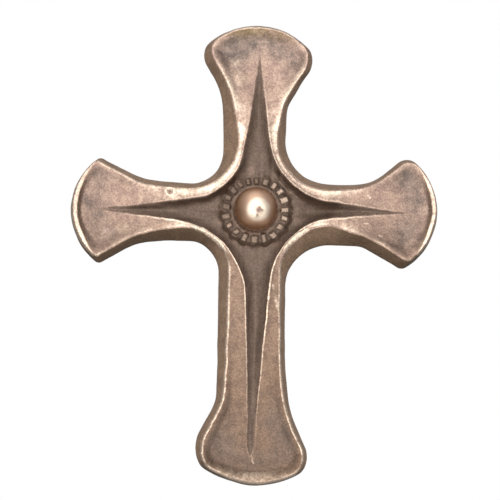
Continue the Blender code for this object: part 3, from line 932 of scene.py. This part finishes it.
surfaceValues = {
    "dents": ((9.0, 0.085), (4.0, 0.050), (1.9, 0.024), (1.0, 0.012)),   # size and height
    "streakWidth": 1.1, "streakLength": 9.0, "streakHeight": 0.07,
    "flankDents": 1.2,         # the side walls are rougher than the front
    "ballDents": 0.05,
    "backDents": 0.25,
    "pit": (-27.6, 5.2), "pitRadius": 0.65, "pitDepth": 0.40,
    "pitRim": 0.24, "pitRimWidth": 0.4,
}


# noise drawn out along the arms: streaks on the upright ones and across them on the others,
# with a blend between the two on the diagonals
def armStreaks(x, z, length, width, seed):
    upright = easeStep((np.abs(z) - np.abs(x)) / 8 + 0.5)
    level = planNoise(x / length, z / width, 1.0, seed)
    return between(level, planNoise(x / width, z / length, 1.0, seed + 1), upright)


# distance from the pit's middle
def fromPit(x, z):
    return np.hypot(x - surfaceValues["pit"][0], z - surfaceValues["pit"][1])


# the cast and hammered skin: noise of several sizes along the normals, and streaks that run
# along the arms on the star's floor
def roughen(points, normals, masks):
    v = surfaceValues
    dents = sum(height * latticeNoise(points, size, 20 + k) for k, (size, height) in enumerate(v["dents"]))
    inStar = easeStep(-masks["star"] / 0.8) * (1 - masks["ball"]) * (1 - masks["bar"])
    x, z = points[:, 0], points[:, 2]
    streaks = armStreaks(x, z, v["streakLength"], v["streakWidth"], 31)
    amount = between(1, v["flankDents"], masks["flank"])
    amount = between(amount, v["ballDents"], masks["ball"])
    amount = between(amount, v["backDents"], masks["back"])
    shift = dents * amount + v["streakHeight"] * streaks * inStar * (1 - masks["ring"])
    shift = np.where(masks["back"] > 0, -np.abs(shift), shift)
    front = (1 - masks["back"]) * (1 - masks["flank"])
    shift = shift - ringValues["shadowDepth"] * ringTrench(x, z) * front * (1 - masks["bar"])
    pit = v["pitRim"] * bell(fromPit(x, z) - 2 * v["pitRadius"], v["pitRimWidth"])
    pit = pit - v["pitDepth"] * bell(fromPit(x, z), v["pitRadius"])
    return points + normals * (shift + pit * front)[:, None]


markValues = {
    # dull places in the ends: x, z, radius and strength
    "dullPlaces": (
        (-7.3, 52.8, 4.8, 1.4), (-2.5, 55.4, 3.4, 0.8), (4.0, 55.2, 3.2, 0.6), (7.5, 52.0, 3.6, 0.5),
        (12.4, 49.0, 3.6, 0.5), (-9.5, -75.0, 5.0, 0.7), (9.8, -72.0, 5.5, 1.0), (-7.0, -67.0, 6.0, 0.4),
        (8.5, -65.0, 6.0, 0.8), (-0.4, -80.0, 3.0, 0.3), (49.0, 11.5, 3.8, 0.7), (51.7, 4.3, 3.0, 0.7),
        (48.0, -6.0, 4.0, 0.6), (-55.0, 1.6, 3.0, 0.6), (-51.3, 11.5, 3.6, 0.5), (-50.0, -2.5, 3.0, 0.5)),
    # bright scratches and rubbed places: from x, z to x, z, width and strength
    "scratches": (
        (-0.2, -79.3, 0.6, -81.8, 0.50, 0.36), (36.0, 5.6, 36.8, 4.6, 0.22, 0.8),
        (35.1, -3.7, 36.0, -3.6, 0.30, 0.9), (39.6, -7.3, 40.7, -7.7, 0.32, 0.9),
        (7.3, -31.5, 5.8, -24.5, 0.70, 0.45), (-29.0, 6.5, -26.3, 6.4, 0.35, 0.8),
        (-7.5, 39.0, -6.5, 48.0, 3.4, 0.36), (5.5, 41.0, 7.0, 46.0, 2.8, 0.24),
        (-50.0, -9.0, -40.0, -6.5, 3.2, 0.26)),
}


# the greatest of several short strokes: a bell of the distance from each one's line
def strokeShare(x, z, strokes):
    total = np.zeros_like(x)
    for startX, startZ, endX, endZ, width, strength in strokes:
        spanX, spanZ = endX - startX, endZ - startZ
        t = np.clip(((x - startX) * spanX + (z - startZ) * spanZ) / (spanX ** 2 + spanZ ** 2), 0, 1)
        away = np.hypot(x - startX - t * spanX, z - startZ - t * spanZ)
        total = np.maximum(total, strength * bell(away, width))
    return total


# where the metal is bare, where dirt lies and where light and shade are painted, in
# millimetres and in shares from 0 to 1
patinaValues = {
    "cloudSizes": (5.0, 1.7), "fineSize": 0.8,     # patches that make all of it uneven
    "starLine": 0.30, "starSpread": 0.5,           # width of the line at the star's edge
    "edgeInset": 0.10, "edgeLine": 0.42,
    "crestInset": 0.05, "crestLine": 0.38,
    "rimShine": 0.62, "crestShine": 0.95, "barShine": 0.40, "endWallShine": 0.35,
    "foldPlace": 2.7, "foldLine": 0.33, "foldHighlightShare": 0.42,   # a painted highlight along a crease at the ring's upper right
    "pitShine": 0.9,
    "floorDirt": 0.48, "streakDirt": 0.18, "streakLength": 12.0, "streakWidth": 0.9,
    # the star's walls get dirt and painted shade, most where they face down; the grooves' roots and the
    # trench round the bars get painted shadow
    "wallPlace": 1.1, "wallWidth": 1.4, "wallDirt": 0.05, "paintedWallShade": 0.08, "paintedDownWallShade": 0.30,
    "rightRootShadow": 0.30, "leftRootShadow": 0.06, "tipClean": 0.14,
    "barClean": 0.35, "channelClean": 0.85, "gapDirt": 0.20, "trenchShadow": 0.75, "pitDirt": 0.6,
    "dullRing": 6.5, "dullWidth": 4.5,             # where an end is dull, inwards of its lip
    "toneRise": 0.4,                               # painted shade and light: how much browner the bottom is than the middle, and lighter the top
    "flankShadeFrom": -0.88, "flankShadeSpan": 0.70, # painted shade on side walls by their slope: those facing down are darkest
}


# 0 before start, 1 after its rise, and down to 0 again over the fall that ends at stop
def stretch(place, start, rise, stop, fall):
    return easeStep((place - start) / rise) * easeStep((stop - place) / fall)


# bare metal and painted light are the greatest of: a line inside the star's edge, a line
# along the outer edge, a soft band beside that with the lobe, the bars, a painted highlight
# along a crease in the floor, the lip's flat top and crest, painted light on its slope, the wall
# of an end with some of that painted light, and the scratches
def rubbedAndLitShare(m):
    v = patinaValues
    star, edge, dish, flank = m["star"], m["edge"], m["dish"], m["flank"]
    cloud, fine, ragged, x, z = m["cloud"], m["fine"], m["ragged"], m["x"], m["z"]
    onLobe = easeStep((star + 0.1) / 0.3) * easeStep((edge + 0.3) / 0.4) * (1 - m["ball"])
    width = v["starLine"] + v["starSpread"] * m["wearBand"] * (1 - dish)
    starLine = m["wearStar"] * bell(star - 0.5 * width, width) * (1 + 0.3 * ragged)
    starLine = starLine * (1 - m["past"]) * (1 - 0.60 * dish)
    edgeLine = m["wearEdge"] * bell(edge - v["edgeInset"], v["edgeLine"]) * (1 + 0.35 * ragged)
    edgeLine = edgeLine * (1 - m["rimShare"])
    band = bell(np.maximum(edge, 0), np.maximum(m["wearBandWidth"], 0.1))
    band = m["wearBand"] * band * easeStep(cloud + 0.75)
    lobe = m["wearLobe"] * (0.80 + 0.30 * cloud + 0.20 * fine)
    lobe = onLobe * np.minimum(band + lobe, 1) * (1 - m["rimStain"])
    rubbed = np.maximum.reduce([starLine, edgeLine, lobe])
    rubbed = rubbed * (0.92 + 0.16 * fine) * (1 - m["back"]) * (1 - flank * (1 - bell(edge, 0.5)))

    upperLeft = easeStep(0.2 + (z - x) / 16)
    bars = m["bar"] * (v["barShine"] + 0.20 * cloud) * (1 - 0.55 * upperLeft)
    # a painted highlight along a crease at the ring's upper right
    fold = bell(star + v["foldPlace"], v["foldLine"]) * easeStep((x - 2) / 4)
    fold = fold * easeStep((16 - np.hypot(x, z)) / 3)
    fold = v["foldHighlightShare"] * fold * easeStep(0.9 + cloud)
    rimTop = m["rimShare"] * easeStep((edge + 0.4) / 0.4) * easeStep((0.45 - m["inLip"]) / 0.5)
    rimTop = rimTop * (v["rimShine"] + 0.35 * ragged)
    crest = m["rimShare"] * bell(edge - v["crestInset"], v["crestLine"]) * (v["crestShine"] + 0.3 * ragged)
    # painted light on the lip's slope, strongest at the lower end, where the slope faces up
    slope = easeStep((m["lip"] - edge) / 1.2) * easeStep((edge + 0.3) / 0.4)
    slope = m["paintedSlopeLight"] * slope * (0.9 + 0.6 * ragged)
    endWall = dish * easeStep((0.8 - m["inFromEnd"]) / 1.6) * (1 - m["back"])
    endWall = endWall * flank * (v["endWallShine"] + 0.8 * m["paintedSlopeLight"] + 0.3 * ragged)
    scratches = m["front"] * strokeShare(x, z, markValues["scratches"]) * (0.9 + 0.5 * fine)
    return np.maximum.reduce([rubbed, bars, fold, rimTop, crest, slope, endWall, scratches])


# dirt and painted shade in the star: an even share of dirt with streaks, dirt and painted
# shade on its walls, most painted shade on those that face down, painted shadow where the
# side arms' grooves begin and less at the tips; then dirt in the ring's gaps and painted shadow
# in the trench round them
def dirtAndShadeShare(m):
    v = patinaValues
    x, z = m["x"], m["z"]
    streaks = armStreaks(x, z, v["streakLength"], v["streakWidth"], 44)
    facingDown = easeStep(-1.5 * m["normalUp"])
    wall = v["wallDirt"] + v["paintedWallShade"] * m["wearShade"] + v["paintedDownWallShade"] * facingDown
    wall = bell(m["star"] + v["wallPlace"], v["wallWidth"]) * wall
    # painted shadow at the roots of the side arms' grooves, most on the right
    roots = v["rightRootShadow"] * stretch(x, 10, 6, 30, 8) + v["leftRootShadow"] * stretch(-x, 10, 6, 30, 8)
    tips = v["tipClean"] * m["dish"] * easeStep((z + 20) / 10)
    dirt = v["floorDirt"] + v["streakDirt"] * streaks + 0.08 * m["cloud"] + wall + roots - tips
    dirt = m["inStar"] * dirt * (1 - m["bar"] * v["barClean"]) * (1 - m["ball"])
    dirt = dirt * (1 - v["channelClean"] * m["channel"]) + v["gapDirt"] * m["ring"]
    # painted shadow in the trench round the bars
    return dirt + v["trenchShadow"] * ringTrench(x, z) * m["front"] * (1 - m["ball"]) * (1 - m["bar"])


# dull metal: a bell round a line inside each end's lip and the dull places, all in the dishes
# and outside the grooves, and the channel round the ball
def hollowShare(m):
    v = patinaValues
    cloud = m["cloud"]
    hollow = m["hollow"] * bell(m["inFromEnd"] - v["dullRing"], v["dullWidth"]) * (0.55 + 0.5 * cloud)
    for placeX, placeZ, size, strength in markValues["dullPlaces"]:
        away = np.hypot(m["x"] - placeX, m["z"] - placeZ) + 1.5 * cloud
        hollow = hollow + strength * bell(away, size)
    hollow = hollow * m["dish"] * (1 - m["inStar"]) * (1 + 0.3 * m["fine"])
    return np.maximum(hollow * easeStep(m["inLip"] / 2 - 0.2), m["channel"])


# the polished ball's own masks: its darker foot, dirt with painted shade towards its rim, by
# the distance from the middle; a painted highlight and a small dark painted reflection, by the
# distance from theirs
def ballShares(m):
    r = ringValues
    x, z = m["x"], m["z"]
    # dirt at the foot and painted shade that darkens the ball towards its rim
    foot = easeStep((np.hypot(x, z) / r["ballRadius"] - 0.50) / 0.50)
    shine = np.hypot(x - r["shinePlace"][0], z - r["shinePlace"][1]) + 0.35 * m["cloud"]
    shine = easeStep((r["shineSize"] - shine) / 1.4 + 0.5)
    # a small dark painted reflection in the highlight
    spot = np.hypot((x - r["paintedReflection"][0]) / r["reflectionSize"][0], (z - r["paintedReflection"][1]) / r["reflectionSize"][1])
    dull = easeStep((1 - spot - 0.45 * m["fine"]) / 1.1 + 0.4)
    return m["ball"] * foot, m["ball"] * shine, m["ball"] * dull


# masks that the bronze's colour reads: bare metal with some painted light, dirt with painted
# shade, side wall, the ends' hollows, painted shade inside the rims, the polished ball with its
# foot, painted highlight and painted reflection, and the painted light from brown to tan
def wearMasks(points, normals, masks):
    v = patinaValues
    x, z = points[:, 0], points[:, 2]
    first, second = [latticeNoise(points, size, 41 + k) for k, size in enumerate(v["cloudSizes"])]
    cloud, fine = 0.65 * first + 0.35 * second, latticeNoise(points, v["fineSize"], 43)
    m = {
        **masks, "x": x, "z": z, "normalUp": normals[:, 2], "cloud": cloud, "fine": fine,
        "ragged": cloud * 0.6 + fine * 0.4, "inLip": masks["edge"] - masks["rimTop"],
        "front": (1 - masks["back"]) * (1 - masks["flank"]),
        "inStar": easeStep((-masks["star"] - 0.10) / 0.35) * (1 - masks["past"])}
    # an olive band of painted shade inside each end's lip
    inner = easeStep(m["inLip"] / 0.35 + 0.2)
    outer = easeStep((m["stainWidth"] * 1.6 - m["inLip"]) / (0.3 + m["stainWidth"]))
    m["rimStain"] = np.clip(m["lipShade"] * inner * outer * (0.75 + 0.9 * m["ragged"]), 0, 1)

    pitRadius = surfaceValues["pitRadius"]
    pit = m["front"] * bell(fromPit(x, z), 0.7 * pitRadius)
    pitRing = v["pitShine"] * m["front"] * bell(fromPit(x, z) - 2 * pitRadius, 0.32)
    rubbed = np.maximum(rubbedAndLitShare(m) * (1 - pit), pitRing)
    grime = dirtAndShadeShare(m) + v["pitDirt"] * pit
    # painted light: each side's own, lighter towards the top and browner towards the bottom; on the side
    # walls, painted shade by their slope
    tone = m["wearTone"] + v["toneRise"] * z / -low[2]
    # painted shade on the side walls by their slope
    flankLight = easeStep((m["normalUp"] - v["flankShadeFrom"]) / v["flankShadeSpan"])
    tone = between(tone, flankLight, m["flank"])
    # the ball's foot of dirt and painted shade, its painted highlight and the dark painted reflection in it
    foot, shine, dull = ballShares(m)
    return {
        "rubbed": np.clip(rubbed, 0, 1), "grime": np.clip(grime, 0, 1), "flank": m["flank"],
        "hollow": np.clip(hollowShare(m), 0, 1), "rimStain": m["rimStain"], "polish": m["ball"],
        "foot": foot, "shine": shine, "dull": dull, "tone": np.clip(tone, 0, 1)}


# a mesh in metres from whole arrays, with its masks as attributes of the points
def makeMesh(name, points, quads, triangles, attributes):
    mesh = bpy.data.meshes.new(name)
    corners = np.concatenate([quads.ravel(), triangles.ravel()]).astype(np.int32)
    sizes = np.concatenate([np.full(len(quads), 4), np.full(len(triangles), 3)])
    starts = np.concatenate([[0], np.cumsum(sizes)[:-1]]).astype(np.int32)
    mesh.vertices.add(len(points))
    mesh.vertices.foreach_set("co", (points * mm).astype(np.float32).ravel())
    mesh.loops.add(len(corners))
    mesh.loops.foreach_set("vertex_index", corners)
    mesh.polygons.add(len(sizes))
    mesh.polygons.foreach_set("loop_start", starts)
    mesh.update(calc_edges=True)
    mesh.validate()
    for label, values in attributes.items():
        layer = mesh.attributes.new(label, "FLOAT", "POINT")
        layer.data.foreach_set("value", values.astype(np.float32))
    mesh.shade_smooth()
    piece = bpy.data.objects.new(name, mesh)
    bpy.context.scene.collection.objects.link(piece)
    return piece


# the bronze's finish


bronzeValues = {
    "tan": (0.44, 0.318, 0.255),     # the arms' lobes where the painted light is high
    "rose": (0.47, 0.322, 0.268),
    "shadedBrown": (0.200, 0.132, 0.092),  # and where it is low, a painted shade
    "grey": (0.188, 0.148, 0.130),   # dull places in the upper ends, and in the lower one
    "dun": (0.176, 0.128, 0.104),
    # olive painted shade inside the ends' lips
    "oliveShade": (0.20, 0.145, 0.080),
    "flank": (0.115, 0.070, 0.041),  # painted shade on side walls that face down, painted light on the others
    "litFlank": (0.345, 0.228, 0.155),
    # the star's floor, and its darkest dirt and painted shade
    "floor": (0.160, 0.110, 0.084),
    "dark": (0.056, 0.030, 0.017),
    # bare metal, and the painted light on the lower lip's slope and along a crease
    "rubbed": (0.83, 0.66, 0.53),
    "ball": (0.74, 0.49, 0.355),
    # the ball's painted highlight, its foot darkened by dirt and painted shade, and a dark painted
    # reflection
    "paintedBallHighlight": (1.0, 0.85, 0.69),
    "ballFootDirtAndShade": (0.50, 0.30, 0.185),
    "paintedBallReflection": (0.22, 0.145, 0.125),
    "roughness": 0.50, "grimeRoughness": 0.66, "rubbedRoughness": 0.40, "ballRoughness": 0.44,
    "patinaMetal": 0.5,      # how much of a metal the grimy parts still are
    "mottleSize": 3.2,       # millimetres
    "speckSize": 0.55,
    "mottleLight": (0.90, 1.10),   # how much lighter and darker they make the metal
    "speckLight": (0.80, 1.20),
    "patchShare": 0.22, "hollowShare": 0.78, "rimShadeShare": 0.90,
    "wearRange": (0.12, 0.85),     # from where the rubbed metal shows to where it is bare
    "grain": 0.12, "grainSize": 0.45, "grainDepth": 0.4,   # the bump's strength and size
}


def makeBronze(values):
    material = bpy.data.materials.new("agedBronze")
    material.use_nodes = True
    tree = material.node_tree
    shader = tree.nodes["Principled BSDF"]
    desk = NodeDesk(tree)
    where = desk.node("ShaderNodeTexCoord").outputs["Object"]
    mottle = desk.noise(where, values["mottleSize"], 5.0, 0.6)
    speck = desk.noise(where, values["speckSize"], 3.0)
    rubbed, grime, rimStain, hollow, flank, polish, tone, foot, shine, paintedReflection = [
        desk.attribute(name) for name in (
            "rubbed", "grime", "rimStain", "hollow", "flank", "polish", "tone", "foot", "shine", "dull")]

    # tan metal, rosy in places, made browner further down by painted shade, dull in the hollows
    cloud = desk.ramp(mottle, 0.38, 0.62)
    colour = desk.blend(tone, values["shadedBrown"], desk.blend(cloud, values["rose"], values["tan"]))
    patches = desk.ramp(mottle, 0.58, 0.40, 0.0, values["patchShare"])
    patches = desk.math("ADD", patches, desk.math("MULTIPLY", hollow, values["hollowShare"]))
    colour = desk.blend(patches, colour, desk.blend(tone, values["dun"], values["grey"]))
    # painted shade: olive inside the lips and on the side walls by their slope; then dirt with painted shade
    # in the star
    colour = desk.blend(desk.math("MULTIPLY", rimStain, values["rimShadeShare"]), colour, values["oliveShade"])
    colour = desk.blend(flank, colour, desk.blend(tone, values["flank"], values["litFlank"]))
    colour = desk.blend(desk.ramp(grime, 0.0, 0.5), colour, values["floor"])
    colour = desk.blend(desk.ramp(grime, 0.5, 1.0), colour, values["dark"])
    # bare metal, and painted light on the lower lip's slope and along a crease
    wear = desk.ramp(rubbed, *values["wearRange"])
    wear = desk.math("MULTIPLY", wear, desk.ramp(speck, 0.25, 0.5, 0.7, 1.0))
    colour = desk.blend(wear, colour, values["rubbed"])
    light = desk.ramp(mottle, 0.35, 0.65, *values["mottleLight"])
    light = desk.math("MULTIPLY", desk.ramp(speck, 0.35, 0.65, *values["speckLight"]), light)
    colour = desk.blend(1.0, colour, light, "MULTIPLY")
    # the ball: its foot darkened by dirt and painted shade, a painted highlight and a dark painted
    # reflection
    ball = desk.blend(shine, desk.blend(foot, values["ball"], values["ballFootDirtAndShade"]), values["paintedBallHighlight"])
    ball = desk.blend(paintedReflection, ball, values["paintedBallReflection"])
    colour = desk.blend(polish, colour, ball)
    desk.feed(shader.inputs["Base Color"], colour)

    rough = desk.ramp(grime, 0.0, 1.0, values["roughness"], values["grimeRoughness"])
    rough = desk.node("ShaderNodeMix", {0: wear, 2: rough, 3: values["rubbedRoughness"]}).outputs[0]
    rough = desk.node("ShaderNodeMix", {0: polish, 2: rough, 3: values["ballRoughness"]}).outputs[0]
    desk.feed(shader.inputs["Roughness"], rough)
    dull = desk.math("MAXIMUM", desk.ramp(grime, 0.1, 0.5), flank)
    dull = desk.math("MULTIPLY", dull, desk.math("SUBTRACT", 1.0, wear))
    desk.feed(shader.inputs["Metallic"], desk.ramp(dull, 0.0, 1.0, 1.0, values["patinaMetal"]))

    grain = desk.noise(where, values["grainSize"], 4.0, 0.65)
    depth = desk.math("MULTIPLY", desk.math("SUBTRACT", 1.0, polish), values["grain"])
    bump = desk.node("ShaderNodeBump", {
        "Strength": depth, "Distance": values["grainDepth"] * mm, "Height": grain})
    desk.feed(shader.inputs["Normal"], bump.outputs["Normal"])
    return material


points, quads, triangles, masks = weld(*makeBody())
print("cross surface:", len(points), "points,", 2 * len(quads) + len(triangles), "triangles")
points = roughen(points, pointNormals(points, quads, triangles), masks)
normals = pointNormals(points, quads, triangles)
cross = makeMesh("castCross", points, quads, triangles, wearMasks(points, normals, masks))
cross.data.materials.append(makeBronze(bronzeValues))
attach(cross, "root")
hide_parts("cross")
print("cross ready")
